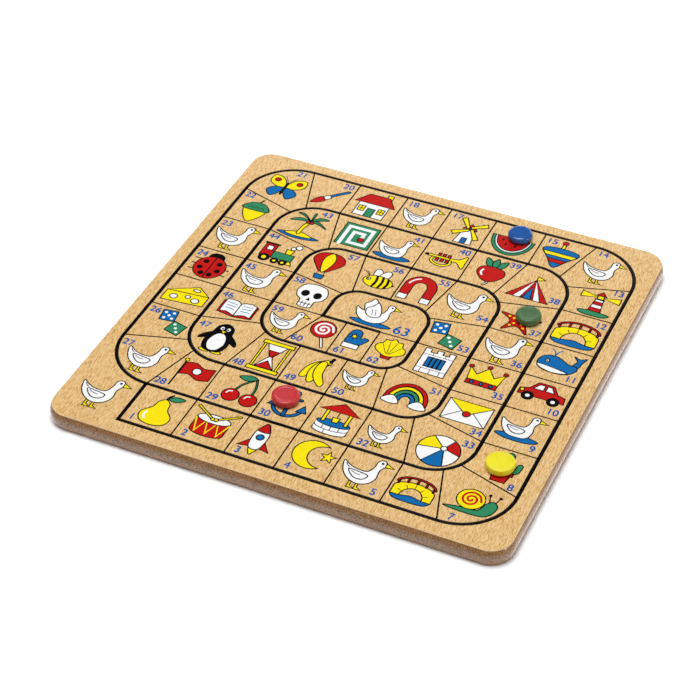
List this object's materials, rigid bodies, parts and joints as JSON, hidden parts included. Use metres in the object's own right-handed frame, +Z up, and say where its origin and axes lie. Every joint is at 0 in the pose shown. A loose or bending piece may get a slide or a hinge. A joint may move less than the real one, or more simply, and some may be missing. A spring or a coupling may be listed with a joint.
{
  "type": "reversible game board",
  "caption": "Square wooden board with rounded corners, printed with a spiral goose game on one face and a parcheesi cross on the other, carrying round plastic counters that lift off.",
  "frame": {"origin": "on the surface that the board lies on, under the middle of the board", "axes": "+Z up out of the goose-game face, +X to the right and +Y away from a player who reads the numbers upright"},
  "size_m": [0.344, 0.344, 0.0195],
  "materials": {
    "fibreboard_core": "brown fibreboard edge under clear satin varnish",
    "beech_veneer": "pale beech veneer with short dark flecks, screen printed, clear satin varnish",
    "print_ink": "screen-printed ink film in black, white, red, yellow, green and blue",
    "red_plastic": "moulded plastic, soft gloss",
    "blue_plastic": "moulded plastic, soft gloss",
    "green_plastic": "moulded plastic, soft gloss",
    "yellow_plastic": "moulded plastic, soft gloss"
  },
  "bodies": {
    "board": {"core_panel": "fibreboard_core", "goose_face_veneer": "beech_veneer", "parcheesi_face_veneer": "beech_veneer"},
    "red": {"red_counter": "red_plastic"},
    "blue": {"blue_counter": "blue_plastic"},
    "green": {"green_counter": "green_plastic"},
    "yellow": {"yellow_counter": "yellow_plastic"}
  },
  "joints": [
    {"name": "red_lift", "type": "slide", "parent": "board", "child": "red", "axis": [0, 0, 1], "range_m": [0, 0.05]},
    {"name": "blue_lift", "type": "slide", "parent": "board", "child": "blue", "axis": [0, 0, 1], "range_m": [0, 0.05]},
    {"name": "green_lift", "type": "slide", "parent": "board", "child": "green", "axis": [0, 0, 1], "range_m": [0, 0.05]},
    {"name": "yellow_lift", "type": "slide", "parent": "board", "child": "yellow", "axis": [0, 0, 1], "range_m": [0, 0.05]}
  ]
}
